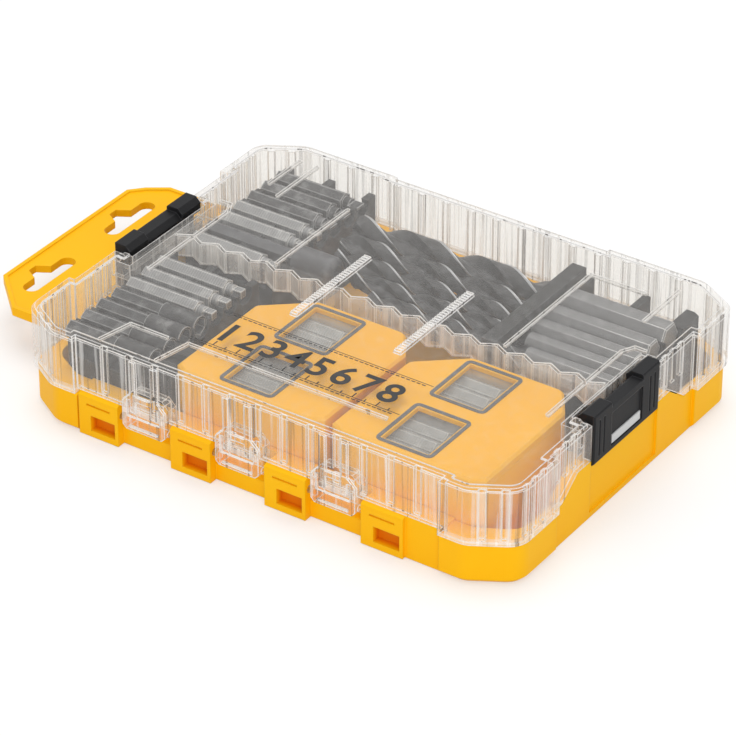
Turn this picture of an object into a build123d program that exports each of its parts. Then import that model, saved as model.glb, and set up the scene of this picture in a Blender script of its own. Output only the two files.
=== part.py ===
from build123d import *
import math
import os

# A drill bit case: a tray-shaped base, a clear lid hinged along the front edge, a latch on
# each short side, a hang tab, and the racks, bits and two small cassettes that it holds.
# Millimetres. X runs along the case, Y towards its back, Z up. The origin is the centre of
# the base's underside.

# ---- base ----
CASE_LENGTH = 210.0
CASE_WIDTH = 160.0
RIM_HEIGHT = 16.5
FLOOR = 2.0
BASE_WALL = 2.0
BOTTOM_CHAMFER = 1.6
CORNER_CUT_X = 17.0
CORNER_CUT_Y = 10.0
CORNER_ROUND = 9.0
CAVITY_CUT_X = 15.0
CAVITY_CUT_Y = 8.0
PANEL_DEPTH = 1.5        # the middle of each side is set back from the corner posts
SIDE_POST = 23.0         # from a corner cut to the panel in a short side
BACK_POST = 41.0         # from a corner cut to the panel in the back

# ---- clearances ----
SEAT_GAP = 0.2           # between pieces that close on each other
SWING_GAP = 0.4          # round what turns past its neighbour
REST_GAP = 0.15          # under and round what lies in a seat
STORE_GAP = 0.5          # between the stored things and the case

# ---- lid ----
LID_HEIGHT = 23.3        # from the lid's lower edge to its roof
LID_OVERHANG = 1.0
LID_WALL = 1.8
LID_ROOF = 1.8
LID_CHAMFER = 1.2
RIB_PITCH = 11.2
RIB_WIDTH = 1.2
RIB_DEPTH = 1.0
WALL_RIB_WIDTH = 2.6
WALL_RIB_DEPTH = 1.2
SIDE_RIB_PITCH = 5.5
CORNER_RIB_PITCH = 8.0
ROOF_BORDER = 3.5       # rim round the roof
ROOF_RECESS = 0.6
CORRUGATION_PITCH = 5.6
CORRUGATION_DEPTH = 9.0
CORRUGATION_SWING = 3.0
GRIP_BAR_LENGTH = 48.0
GRIP_BAR_WIDTH = 3.0
GRIP_BAR_HEIGHT = 0.9
GRIP_BAR_SPACING = 45.0
GRIP_TOOTH = 1.6

# ---- hinge along the front ----
HINGE_X = -7.0           # middle of the row of knuckles
HINGE_INSET = 3.0        # axis behind the base's front face
HINGE_DROP = 4.4         # axis below the rim
HINGE_POST = 10.0        # from a corner cut to the hinge zone
LID_SETBACK = 2.0        # lid wall behind its front corners, over the knuckles
KNUCKLE_COUNT = 4
KNUCKLE_WIDTH = 17.5
KNUCKLE_END_GAP = 0.75   # from the hinge zone to the first knuckle
KNUCKLE_RISE = 1.0       # knuckles above the rim
KNUCKLE_CORE = 3.5
LID_KNUCKLE_GAP = 2.4
LID_KNUCKLE_DROP = 6.8   # below the rim
LID_KNUCKLE_HEIGHT = 14.8
LID_KNUCKLE_DEPTH = 7.3
LID_KNUCKLE_FRAME = 2.2
LID_KNUCKLE_BARS = 9.2
STUB_RADIUS = 1.5
STUB_GRIP = 3.0
STUB_CLEARANCE = 0.06

# ---- latches ----
LATCH_WIDTH = 44.0
LATCH_FACE = 0.8         # outer face behind the base's corner posts
LATCH_THICKNESS = 3.9
LATCH_SHELL = 2.0
LATCH_RISE = 2.3         # above the lid's roof
LATCH_LIFT = 5.3         # lower edge above the rim
LATCH_ARM = 11.5
LATCH_SIDE_GAP = 0.6
LATCH_PANEL = 0.8        # depth of the panel in the latch's face
STRIP_HEIGHT = 3.4
STRIP_THICKNESS = 0.5
PIVOT_INSET = 4.8        # pivot behind the base's corner posts
PIVOT_DROP = 2.1         # pivot below the lid's roof
LATCH_STUB_RADIUS = 1.2
LATCH_STUB_GRIP = 2.4
ARM_REACH = 3.2
ARM_BEVEL = 2.0
MIDDLE_REACH = 2.6       # the latch between its arms is slimmer and lower
MIDDLE_DROP = 2.0
CATCH_RISE = 7.5         # catch wall above the rim
CATCH_SHOULDER = 9.0     # catch wall past each end of the latch
CATCH_SLOPE = 10.0
CATCH_NOSE = 0.5
FINGER_RECESS = 1.0

# ---- hang tab ----
TAB_REACH = 45.0         # past the base's corner posts
TAB_FRONT = -48.0
TAB_BACK = 56.0
TAB_THICKNESS = 3.0
TAB_TONGUE = 10.0
TAB_TONGUE_SPACING = 66.0
TAB_LIP = 1.2
TAB_LIP_WIDTH = 2.5
TAB_RIM = 0.6
TAB_RIM_WIDTH = 1.6
HANG_PITCH = 50.0
HANG_BRIM = 28.0
HANG_BRIM_WIDTH = 6.6
HANG_CROWN = 10.0
HANG_CROWN_HEIGHT = 5.0
HANG_EDGE = 16.8         # from the tab's outer edge to the holes' straight side

# ---- racks and what they hold ----
RACK_WALL = 1.6
RACK_RIB = 3.0
RACK_SADDLE = 1.5        # ribs above the axis of what they hold
LEFT_RACK_LENGTH = 40.0
RIGHT_RACK_LENGTH = 51.5
RIGHT_RACK_INSET = 2.4
RACK_END_BAR = 6.0
KEEPER_INSET = 6.0       # from the end of the keeper to the back of the store
RACK_WING = 9.7
RACK_WING_WIDTH = 17.0
BIT_HEADROOM = 3.5
BIT_ACROSS_FLATS = 6.35
BIT_LENGTH = 38.0
BIT_INSET = 1.0
BIT_PITCH = 9.0
BIT_TIP = 7.0
BIT_DECK_DROP = 7.0
NUT_DRIVER_RADIUS = 4.2
NUT_DRIVER_HEAD = 16.0
HOLDER_RADIUS = 6.0
HOLDER_LENGTH = 17.5
DRILL_DIAMETERS = (6.0, 7.0, 8.0, 9.0, 10.0, 12.0)
DRILL_SHORTENING = (47.0, 33.0, 20.0, 6.0, 2.0, 0.0)
DRILL_HEADROOM = 4.2
DRILL_GAP = 0.6
DRILL_END_GAP = 2.0      # from the drills' ends to what stands past them
DRILL_DECK_DROP = 11.0
DRILL_POINT_ANGLE = 118.0
DRILL_SHANK_SHARE = 0.34

# ---- cassettes ----
CASSETTE_HEADROOM = 2.85
CASSETTE_COVER = 3.5
CASSETTE_WALL = 1.8
CASSETTE_LEFT_CUT = (18.0, 15.0)
CASSETTE_RIGHT_CUT = (8.0, 12.0)
CASSETTE_FRONT_CUT = (5.0, 3.0)
CASSETTE_ROUND = 4.0
CASSETTE_SPACING = 3.0
CASSETTE_MARGIN = 4.4    # from the right cassette to the end of the store
WINDOW_LENGTH = 19.5
WINDOW_WIDTH = 23.0
WINDOW_X = 29.5          # window's middle, from the cassette's left side
WINDOW_MARGIN = 4.6      # window to the cassette's front or back
PANE = 1.0
PANE_LAP = 0.8
INSERT_BIT_LENGTH = 25.0
INSERT_BIT_PITCH = 7.4
INSERT_SEAT = 1.2

# ---- what follows from the sizes above ----
HALF_LENGTH = CASE_LENGTH / 2
HALF_WIDTH = CASE_WIDTH / 2
SIDE_FACE = HALF_LENGTH - PANEL_DEPTH
SIDE_PANEL = CASE_WIDTH - 2 * (CORNER_CUT_Y + SIDE_POST)
BACK_PANEL = CASE_LENGTH - 2 * (CORNER_CUT_X + BACK_POST)
HINGE_ZONE = CASE_LENGTH - 2 * (CORNER_CUT_X + HINGE_POST)
LID_BOTTOM = RIM_HEIGHT + SEAT_GAP
LID_TOP = LID_BOTTOM + LID_HEIGHT
ROOF = LID_TOP - LID_ROOF
FLOOR_SEAT = FLOOR + REST_GAP
HINGE_Y = -HALF_WIDTH + HINGE_INSET
HINGE_HEIGHT = RIM_HEIGHT - HINGE_DROP
KNUCKLE_HEIGHT = RIM_HEIGHT + KNUCKLE_RISE
KNUCKLE_ROW = HINGE_ZONE / 2 + HINGE_X - KNUCKLE_END_GAP - KNUCKLE_WIDTH / 2
KNUCKLE_PITCH = 2 * KNUCKLE_ROW / (KNUCKLE_COUNT - 1)
KNUCKLES = [HINGE_X + (i - (KNUCKLE_COUNT - 1) / 2) * KNUCKLE_PITCH for i in range(KNUCKLE_COUNT)]
LID_KNUCKLES = [x + KNUCKLE_PITCH / 2 for x in KNUCKLES[:-1]]
LID_KNUCKLE_WIDTH = KNUCKLE_PITCH - KNUCKLE_WIDTH - 2 * LID_KNUCKLE_GAP
LID_KNUCKLE_BOTTOM = RIM_HEIGHT - LID_KNUCKLE_DROP
LID_FRONT = -HALF_WIDTH - LID_OVERHANG + LID_SETBACK
LID_ZONE_BOTTOM = KNUCKLE_HEIGHT + SWING_GAP
KNUCKLE_SWEEP = math.hypot(LID_KNUCKLE_DEPTH - HINGE_INSET, HINGE_HEIGHT - LID_KNUCKLE_BOTTOM)
INNER_FRONT = HINGE_Y + KNUCKLE_SWEEP + SWING_GAP
LATCH_OUTER = HALF_LENGTH - LATCH_FACE
LATCH_INNER = LATCH_OUTER - LATCH_THICKNESS
LATCH_SEAT = LATCH_INNER - SWING_GAP
LATCH_BOTTOM = RIM_HEIGHT + LATCH_LIFT
LATCH_TOP = LID_TOP + LATCH_RISE
LATCH_POCKET = LATCH_WIDTH / 2 + LATCH_SIDE_GAP
ARM_INNER = LATCH_WIDTH / 2 - LATCH_ARM
PIVOT_X = HALF_LENGTH - PIVOT_INSET
PIVOT_HEIGHT = LID_TOP - PIVOT_DROP
PIVOT_SWING = math.hypot(ARM_REACH - ARM_BEVEL, LATCH_TOP - PIVOT_HEIGHT) + SWING_GAP
CATCH_HEIGHT = RIM_HEIGHT + CATCH_RISE
CATCH_TOP = LATCH_WIDTH / 2 + CATCH_SHOULDER
CATCH_FOOT = CATCH_TOP + CATCH_SLOPE
TAB_TOP = RIM_HEIGHT
TAB_MIDDLE = (TAB_FRONT + TAB_BACK) / 2
STORE_HALF = PIVOT_X - PIVOT_SWING - LID_WALL - STORE_GAP
STORE_FRONT = INNER_FRONT + BASE_WALL + REST_GAP
STORE_BACK = HALF_WIDTH - PANEL_DEPTH - BASE_WALL - 4 * STORE_GAP
DIVIDE = (STORE_FRONT + STORE_BACK) / 2
BACK_RACK_FRONT = DIVIDE + 4.0
FRONT_RACK_BACK = DIVIDE - 4.5
CASSETTE_BACK = DIVIDE - 6.5
CORRUGATION_Y = DIVIDE - 0.5
GRIP_MIDDLE = DIVIDE - 1.5
LEFT_RACK_END = -STORE_HALF + LEFT_RACK_LENGTH
HEX_RADIUS = BIT_ACROSS_FLATS / math.sqrt(3)
BIT_AXIS = ROOF - BIT_HEADROOM - HEX_RADIUS
DRILL_AXIS = ROOF - DRILL_HEADROOM - DRILL_DIAMETERS[-1] / 2
RIGHT_RACK_END = STORE_HALF - RIGHT_RACK_INSET
DRILL_END = RIGHT_RACK_END - DRILL_END_GAP
DRILL_ROOM = DRILL_END - LEFT_RACK_END - DRILL_END_GAP
CASSETTE_START = LEFT_RACK_END + RACK_WING + 2 * STORE_GAP
CASSETTE_LENGTH = (STORE_HALF - CASSETTE_MARGIN - CASSETTE_START - CASSETTE_SPACING) / 2
CASSETTE_TOP = ROOF - CASSETTE_HEADROOM
CASSETTE_SPLIT = CASSETTE_TOP - CASSETTE_COVER
INSERT_DECK = CASSETTE_TOP - CASSETTE_WALL - PANE - STORE_GAP - 2 * HEX_RADIUS


def block(x0, x1, y0, y1, z0, z1):
    """A box between two corners."""
    middle = Pos((x0 + x1) / 2, (y0 + y1) / 2, (z0 + z1) / 2)
    return middle * Box(x1 - x0, y1 - y0, z1 - z0)


def raised(face, z0, z1):
    """A flat outline in X and Y, raised from z0 to z1."""
    return Pos(0, 0, z0) * extrude(face, z1 - z0, dir=(0, 0, 1))


def prism(points, z0, z1):
    return raised(make_face(Polyline(*points, close=True)), z0, z1)


def along_x(points, x0, x1):
    """An outline of (y, z) points, run from x0 to x1."""
    face = make_face(Polyline(*[(x0, y, z) for y, z in points], close=True))
    return extrude(face, x1 - x0, dir=(1, 0, 0))


def along_y(points, y0, y1):
    """An outline of (x, z) points, run from y0 to y1."""
    face = make_face(Polyline(*[(x, y0, z) for x, z in points], close=True))
    return extrude(face, y1 - y0, dir=(0, 1, 0))


def rod_x(radius, x0, x1, y, z):
    return Pos((x0 + x1) / 2, y, z) * Rot(0, 90, 0) * Cylinder(radius, x1 - x0)


def rod_y(radius, x, y0, y1, z):
    return Pos(x, (y0 + y1) / 2, z) * Rot(90, 0, 0) * Cylinder(radius, y1 - y0)


def hex_x(across_flats, x0, x1, y, z):
    """A hexagonal bar along X."""
    bar = extrude(RegularPolygon(across_flats / 2, 6, major_radius=False), x1 - x0)
    return Pos(x0, y, z) * Rot(0, 90, 0) * bar


def cut_plan(x0, x1, y0, y1, cut_x=CORNER_CUT_X, cut_y=CORNER_CUT_Y):
    """A rectangle whose four corners are cut off and rounded."""
    points = [(x0 + cut_x, y0), (x1 - cut_x, y0), (x1, y0 + cut_y), (x1, y1 - cut_y),
              (x1 - cut_x, y1), (x0 + cut_x, y1), (x0, y1 - cut_y), (x0, y0 + cut_y)]
    face = make_face(Polyline(*points, close=True))
    return fillet(face.vertices(), CORNER_ROUND)


def mirrored(solid):
    """The same piece on the other short side."""
    return mirror(solid, about=Plane.YZ)


def both_sides(solid):
    return solid + mirrored(solid)


# ---- base ----
def base_body():
    plan = cut_plan(-HALF_LENGTH, HALF_LENGTH, -HALF_WIDTH, HALF_WIDTH)
    body = raised(plan, 0, RIM_HEIGHT)
    body = chamfer(body.faces().sort_by(Axis.Z)[0].edges(), BOTTOM_CHAMFER)
    above = RIM_HEIGHT + 1
    side = block(SIDE_FACE, HALF_LENGTH + 1, -SIDE_PANEL / 2, SIDE_PANEL / 2, -1, above)
    back = block(-BACK_PANEL / 2, BACK_PANEL / 2, HALF_WIDTH - PANEL_DEPTH, HALF_WIDTH + 1,
                 -1, above)
    front = block(-HINGE_ZONE / 2, HINGE_ZONE / 2, -HALF_WIDTH - 1, -HALF_WIDTH + PANEL_DEPTH,
                  -1, above)
    return body - both_sides(side) - back - front


def base_cavity():
    half_x = SIDE_FACE - FINGER_RECESS - BASE_WALL
    back = HALF_WIDTH - PANEL_DEPTH - BASE_WALL
    plan = cut_plan(-half_x, half_x, INNER_FRONT + BASE_WALL, back, CAVITY_CUT_X, CAVITY_CUT_Y)
    return raised(plan, FLOOR, KNUCKLE_HEIGHT + 1)


def catch_wall():
    """The right side's raised wall, which the latch catches under a nose near its top."""
    low = FLOOR / 2
    rise = [(-CATCH_FOOT, low), (CATCH_FOOT, low), (CATCH_FOOT, RIM_HEIGHT),
            (CATCH_TOP, CATCH_HEIGHT), (-CATCH_TOP, CATCH_HEIGHT), (-CATCH_FOOT, RIM_HEIGHT)]
    return along_x(rise, LATCH_SEAT - LID_WALL, SIDE_FACE)


def catch_cuts():
    """The latch's seat and the finger recess below it, on the right side."""
    ledge = LATCH_BOTTOM - SEAT_GAP
    seat = block(LATCH_SEAT, HALF_LENGTH + 1, -LATCH_POCKET, LATCH_POCKET, ledge,
                 CATCH_HEIGHT + 1)
    finger = block(SIDE_FACE - FINGER_RECESS, HALF_LENGTH + 1, -LATCH_POCKET, LATCH_POCKET,
                   FLOOR, ledge + 1)
    return seat + finger


def catch_nose():
    """The ridge along the top of the right side's raised wall."""
    half = LATCH_WIDTH / 2 - LATCH_SHELL - LATCH_SIDE_GAP
    outline = [(LATCH_SEAT - 1, CATCH_HEIGHT), (LATCH_SEAT - 1, CATCH_HEIGHT - CATCH_NOSE - 0.8),
               (LATCH_SEAT + CATCH_NOSE, CATCH_HEIGHT - 0.8), (LATCH_SEAT + CATCH_NOSE, CATCH_HEIGHT)]
    return along_y(outline, -half, half)


def base_knuckle(x):
    half = KNUCKLE_WIDTH / 2
    return block(x - half, x + half, -HALF_WIDTH, INNER_FRONT + BASE_WALL / 2, 0, KNUCKLE_HEIGHT)


def knuckle_cuts(x):
    """The core hole and the slit in the front of one knuckle."""
    x0, x1 = x - KNUCKLE_WIDTH / 2, x + KNUCKLE_WIDTH / 2
    front = -HALF_WIDTH
    core = block(x0 + 5.2, x1 - 1.4, front - 1, front + KNUCKLE_CORE, 2.6, HINGE_HEIGHT - 3.1)
    return core + block(x0 + 3.5, x1 - 3.5, front - 1, front + 0.9, HINGE_HEIGHT + 0.8,
                        HINGE_HEIGHT + 1.6)


def knuckle_gap(x):
    """The space that the lid's knuckle at x turns in."""
    half = (KNUCKLE_PITCH - KNUCKLE_WIDTH) / 2
    low = HINGE_HEIGHT - KNUCKLE_SWEEP - SWING_GAP
    gap = block(x - half, x + half, -HALF_WIDTH - 1, INNER_FRONT, low, KNUCKLE_HEIGHT + 1)
    gap += block(x - half, x + half, -HALF_WIDTH - 1, -HALF_WIDTH + KNUCKLE_CORE, -1, low + 1)
    reach = half + STUB_GRIP + SWING_GAP
    return gap + rod_x(STUB_RADIUS + STUB_CLEARANCE, x - reach, x + reach, HINGE_Y, HINGE_HEIGHT)


def hinge_trim(radius, x0, x1, top):
    """What stands in front of the hinge axis, above it and outside a radius about it."""
    front = block(x0, x1, -HALF_WIDTH - 2, HINGE_Y, HINGE_HEIGHT, top + 2)
    return front - rod_x(radius, x0 - 1, x1 + 1, HINGE_Y, HINGE_HEIGHT)


def zone_sweep():
    """Nearest that the lid's wall over the knuckles comes to the axis."""
    return math.hypot(LID_FRONT + LID_WALL - HINGE_Y, LID_ZONE_BOTTOM - HINGE_HEIGHT)


def step_sweep():
    """Nearest that the lid's walls at the ends of the hinge zone come to the axis."""
    return math.hypot(LID_FRONT + LID_WALL - HINGE_Y, LID_BOTTOM - HINGE_HEIGHT)


def corner_sweep():
    """Nearest that the lid's front corners come to the axis."""
    return math.hypot(HINGE_INSET + LID_OVERHANG - LID_WALL, LID_BOTTOM - HINGE_HEIGHT)


def tab_slots():
    """Slots in the left wall for the hang tab's two tongues."""
    slots = []
    for side in (-1, 1):
        y = TAB_MIDDLE + side * TAB_TONGUE_SPACING / 2
        slots.append(block(-HALF_LENGTH - 1, -SIDE_FACE + BASE_WALL, y - TAB_TONGUE / 2,
                           y + TAB_TONGUE / 2, TAB_TOP - TAB_THICKNESS,
                           TAB_TOP - TAB_THICKNESS / 3))
    return slots


def make_base():
    zone = HINGE_ZONE / 2
    body = base_body()
    body += block(-zone, zone, -HALF_WIDTH + PANEL_DEPTH, INNER_FRONT + BASE_WALL, RIM_HEIGHT - 1,
                  KNUCKLE_HEIGHT)
    body -= base_cavity()
    body += both_sides(catch_wall())
    for x in KNUCKLES:
        body += base_knuckle(x)
        body -= knuckle_cuts(x)
    for x in LID_KNUCKLES:
        body -= knuckle_gap(x)
    body -= both_sides(catch_cuts())
    body += both_sides(catch_nose())
    step = zone + LID_WALL + SWING_GAP
    body -= hinge_trim(zone_sweep() - SWING_GAP, -zone, zone, KNUCKLE_HEIGHT)
    body -= both_sides(hinge_trim(step_sweep() - SWING_GAP, zone, step, RIM_HEIGHT))
    body -= both_sides(hinge_trim(corner_sweep() - SWING_GAP, step, HALF_LENGTH + 1, RIM_HEIGHT))
    for slot in tab_slots():
        body -= slot
    return body


# ---- lid ----
def lid_plan():
    """The lid's outline: the base's with an overhang, set back over panels and hinge."""
    reach_x, reach_y = HALF_LENGTH + LID_OVERHANG, HALF_WIDTH + LID_OVERHANG
    face = cut_plan(-reach_x, reach_x, -reach_y, reach_y)
    for side in (-1, 1):
        for inner, width in ((SIDE_FACE, SIDE_PANEL), (LATCH_SEAT, 2 * LATCH_POCKET)):
            face -= Pos(side * (inner + reach_x + 1) / 2, 0) * Rectangle(reach_x + 1 - inner, width)
    face -= Pos(0, (LID_FRONT - reach_y - 1) / 2) * Rectangle(HINGE_ZONE, LID_FRONT + reach_y + 1)
    back = reach_y - PANEL_DEPTH
    return face - Pos(0, (back + reach_y + 1) / 2) * Rectangle(BACK_PANEL, PANEL_DEPTH + 1)


def lid_shell():
    plan = lid_plan()
    outer = raised(plan, LID_BOTTOM, LID_TOP)
    outer = chamfer(outer.faces().sort_by(Axis.Z)[-1].edges(), LID_CHAMFER)
    inside = offset(plan, -LID_WALL, kind=Kind.INTERSECTION)
    field = offset(plan, -ROOF_BORDER, kind=Kind.INTERSECTION)
    outer -= raised(field, LID_TOP - ROOF_RECESS, LID_TOP + 1)
    return outer - raised(inside, LID_BOTTOM - 1, ROOF)


def long_wall_ribs():
    """Upright ribs inside the lid's front and back walls."""
    ribs = []
    reach = HALF_LENGTH - CORNER_CUT_X - RIB_PITCH / 2
    count = int(2 * reach / RIB_PITCH)
    front = LID_FRONT + LID_WALL
    for i in range(count + 1):
        x = (i - count / 2) * RIB_PITCH
        back = HALF_WIDTH + LID_OVERHANG - LID_WALL
        if abs(x) < BACK_PANEL / 2 + WALL_RIB_WIDTH:
            back -= PANEL_DEPTH
        x0, x1 = x - WALL_RIB_WIDTH / 2, x + WALL_RIB_WIDTH / 2
        ribs.append(block(x0, x1, back - WALL_RIB_DEPTH, back + LID_WALL / 2, LID_BOTTOM + 1,
                          ROOF + LID_ROOF / 2))
        if abs(x) < HINGE_ZONE / 2 - WALL_RIB_WIDTH:
            ribs.append(block(x0, x1, front - LID_WALL / 2, front + WALL_RIB_DEPTH,
                              LID_ZONE_BOTTOM + 1, ROOF + LID_ROOF / 2))
    return ribs


def side_wall_ribs():
    """Upright ribs inside the lid's right wall: three at each corner post and three on the panel."""
    ribs = []
    post = HALF_LENGTH + LID_OVERHANG - LID_WALL
    panel = SIDE_FACE - LID_WALL
    for side in (-1, 1):
        for i in range(3):
            y = side * (SIDE_PANEL / 2 + LID_WALL + (i + 1) * SIDE_RIB_PITCH)
            ribs.append(block(post - WALL_RIB_DEPTH, post + LID_WALL / 2, y - WALL_RIB_WIDTH / 2,
                              y + WALL_RIB_WIDTH / 2, LID_BOTTOM + 1, ROOF + LID_ROOF / 2))
            y = side * (SIDE_PANEL / 2 - (i + 1) * SIDE_RIB_PITCH)
            ribs.append(block(panel - WALL_RIB_DEPTH, panel + LID_WALL / 2,
                              y - WALL_RIB_WIDTH / 2, y + WALL_RIB_WIDTH / 2, CATCH_HEIGHT + 1,
                              ROOF + LID_ROOF / 2))
    return ribs


def corner_ribs():
    """Upright ribs inside the lid's cut corners: the front right corner's and the back right's."""
    turn = math.atan2(CORNER_CUT_Y, CORNER_CUT_X)
    x = HALF_LENGTH + LID_OVERHANG - CORNER_CUT_X / 2
    y = -HALF_WIDTH - LID_OVERHANG + CORNER_CUT_Y / 2
    inward = LID_WALL / 2 + (LID_WALL / 2 + WALL_RIB_DEPTH) / 2
    low, high = LID_BOTTOM + 1, ROOF + LID_ROOF / 2
    rib = Box(WALL_RIB_WIDTH, LID_WALL / 2 + WALL_RIB_DEPTH, high - low)
    ribs = []
    for along in (-CORNER_RIB_PITCH / 2, CORNER_RIB_PITCH / 2):
        place = Pos(x + along * math.cos(turn) - inward * math.sin(turn),
                    y + along * math.sin(turn) + inward * math.cos(turn), (low + high) / 2)
        front = place * Rot(0, 0, math.degrees(turn)) * rib
        ribs += [front, mirror(front, about=Plane.XZ)]
    return ribs


def corrugated_rib():
    """The zigzag rib under the roof between the front and back rows of stored things."""
    half = STORE_HALF - STORE_GAP
    count = int(2 * half / CORRUGATION_PITCH)
    path = [((i - count / 2) * CORRUGATION_PITCH, (i % 2 - 0.5) * CORRUGATION_SWING)
            for i in range(count + 1)]
    thick = RIB_WIDTH / 2
    outline = [(x, y + thick) for x, y in path] + [(x, y - thick) for x, y in reversed(path)]
    return Pos(0, CORRUGATION_Y, 0) * prism(outline, ROOF - CORRUGATION_DEPTH, ROOF + LID_ROOF / 2)


def grip_bar(x):
    """A raised bar on the roof whose top is a row of small teeth."""
    count = int(GRIP_BAR_LENGTH / GRIP_TOOTH)
    y0 = GRIP_MIDDLE - count * GRIP_TOOTH / 2
    y1 = GRIP_MIDDLE + count * GRIP_TOOTH / 2
    low, high = LID_TOP + GRIP_BAR_HEIGHT / 2, LID_TOP + GRIP_BAR_HEIGHT
    teeth = [(y0 + (i + 0.5) * GRIP_TOOTH / 2, high if i % 2 else low) for i in range(2 * count)]
    foot = ROOF + LID_ROOF / 2
    outline = [(y0, foot), (y0, low)] + teeth + [(y1, low), (y1, foot)]
    return along_x(outline, x - GRIP_BAR_WIDTH / 2, x + GRIP_BAR_WIDTH / 2)


def roof_line(x0, y0, x1, y1):
    """A thin rib under the roof from one point to another."""
    length = math.hypot(x1 - x0, y1 - y0)
    turn = math.degrees(math.atan2(y1 - y0, x1 - x0))
    low, high = ROOF - RIB_DEPTH, ROOF + LID_ROOF / 2
    line = Box(length + RIB_WIDTH, RIB_WIDTH, high - low)
    return Pos((x0 + x1) / 2, (y0 + y1) / 2, (low + high) / 2) * Rot(0, 0, turn) * line


def roof_lines():
    """The roof's ribs over the racks' ends, round the front pockets and round the latches."""
    back = STORE_BACK - 3
    front = STORE_FRONT - 3
    rack_end, drill_rack = LEFT_RACK_END + 3, RIGHT_RACK_END - RIGHT_RACK_LENGTH + 11
    pocket = LEFT_RACK_END + 6
    paths = [[(rack_end, DIVIDE + 3), (rack_end, back - 20)],
             [(drill_rack, DIVIDE + 3), (drill_rack, back - 8), (drill_rack + 23, back - 8)],
             [(RIGHT_RACK_END - 8, back), (RIGHT_RACK_END - 8, back - 24)],
             [(-STORE_HALF + 7, back), (-STORE_HALF + 7, back - 20)],
             [(-STORE_HALF + 15, back), (-STORE_HALF + 15, back - 26)],
             [(-STORE_HALF + 21, front), (-STORE_HALF + 24, front + 14), (pocket - 6, front + 14)],
             [(pocket, front), (pocket + 3, front + 15), (drill_rack - 9, front + 15)]]
    inner, end = STORE_HALF - 6.5, LATCH_POCKET + 7.5
    for side in (-1, 1):
        paths.append([(side * inner, 6 - end), (side * inner, end - 5),
                      (side * (inner + 2.5), end), (side * STORE_HALF, end)])
    return [roof_line(*a, *b) for path in paths for a, b in zip(path, path[1:])]


def lid_knuckle(x):
    """One clear knuckle: a framed hollow box with a stub on each end and two bars above."""
    half = LID_KNUCKLE_WIDTH / 2
    front, back = -HALF_WIDTH, -HALF_WIDTH + LID_KNUCKLE_DEPTH
    low, high = LID_KNUCKLE_BOTTOM, LID_KNUCKLE_BOTTOM + LID_KNUCKLE_HEIGHT
    top_cut, low_cut, frame = 3.0, 1.5, LID_KNUCKLE_FRAME
    outline = [(x - half, low + low_cut), (x - half + low_cut, low), (x + half - low_cut, low),
               (x + half, low + low_cut), (x + half, high - top_cut), (x + half - top_cut, high),
               (x - half + top_cut, high), (x - half, high - top_cut)]
    body = along_y(outline, front, back)
    shelf = HINGE_HEIGHT + STUB_RADIUS + LID_WALL
    body -= block(x - half + frame, x + half - frame, front + LID_WALL, back + 1, shelf,
                  high - LID_WALL)
    body -= block(x - half + frame, x + half - frame, front - 1, front + 0.6, shelf, high - frame)
    body -= block(x - half + 3, x + half - 3, front - 1, front + 0.6, low + 1.2, low + 2.0)
    for side in (-1, 1):
        bar = x + side * LID_KNUCKLE_BARS / 2
        body += block(bar - WALL_RIB_WIDTH / 2, bar + WALL_RIB_WIDTH / 2, front,
                      LID_FRONT + LID_WALL / 2, shelf + 2, LID_TOP - LID_CHAMFER)
    reach = half + LID_KNUCKLE_GAP + STUB_GRIP
    return body + rod_x(STUB_RADIUS, x - reach, x + reach, HINGE_Y, HINGE_HEIGHT)


def pivot_housing():
    """The thick part of the lid that the right latch turns in."""
    inner, low = PIVOT_X - PIVOT_SWING - LID_WALL, PIVOT_HEIGHT - PIVOT_SWING - LID_WALL
    high = ROOF + LID_ROOF / 2
    housing = block(inner, LATCH_SEAT, -LATCH_POCKET - 1, LATCH_POCKET + 1, low, high)
    end = LATCH_POCKET + LATCH_STUB_GRIP + LID_WALL
    for y0, y1 in ((-end, -LATCH_POCKET), (LATCH_POCKET, end)):
        housing += block(inner, SIDE_FACE - LID_WALL / 2, y0, y1, low, high)
    return housing


def pivot_cuts():
    """The pocket that the right latch turns in, and its stubs' sockets."""
    reach = LATCH_WIDTH / 2 + LATCH_STUB_GRIP + SWING_GAP
    sockets = rod_y(LATCH_STUB_RADIUS + STUB_CLEARANCE, PIVOT_X, -reach, reach, PIVOT_HEIGHT)
    return sockets + block(PIVOT_X - PIVOT_SWING, HALF_LENGTH + 2, -LATCH_POCKET, LATCH_POCKET,
                           PIVOT_HEIGHT - PIVOT_SWING, LID_TOP + 1)


def catch_clearance():
    """The space that the right side's raised wall takes out of the lid's wall."""
    foot, top = CATCH_FOOT + SWING_GAP, CATCH_TOP + SWING_GAP
    high = CATCH_HEIGHT + SEAT_GAP
    outline = [(-foot, LID_BOTTOM - 1), (foot, LID_BOTTOM - 1), (foot, LID_BOTTOM), (top, high),
               (-top, high), (-foot, LID_BOTTOM)]
    return along_x(outline, LATCH_SEAT - LID_WALL - 3, HALF_LENGTH + 2)


def make_lid():
    lid = lid_shell()
    for piece in long_wall_ribs() + roof_lines() + [corrugated_rib()]:
        lid += piece
    for rib in side_wall_ribs() + corner_ribs():
        lid += both_sides(rib)
    for side in (-1, 1):
        lid += grip_bar(side * GRIP_BAR_SPACING / 2)
    lid += both_sides(pivot_housing())
    lid -= both_sides(pivot_cuts())
    lid -= both_sides(catch_clearance())
    zone = HINGE_ZONE / 2
    lid -= block(-zone, zone, -HALF_WIDTH - 3, INNER_FRONT, LID_BOTTOM - 1, LID_ZONE_BOTTOM)
    for x in LID_KNUCKLES:
        lid += lid_knuckle(x)
    return lid


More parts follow.
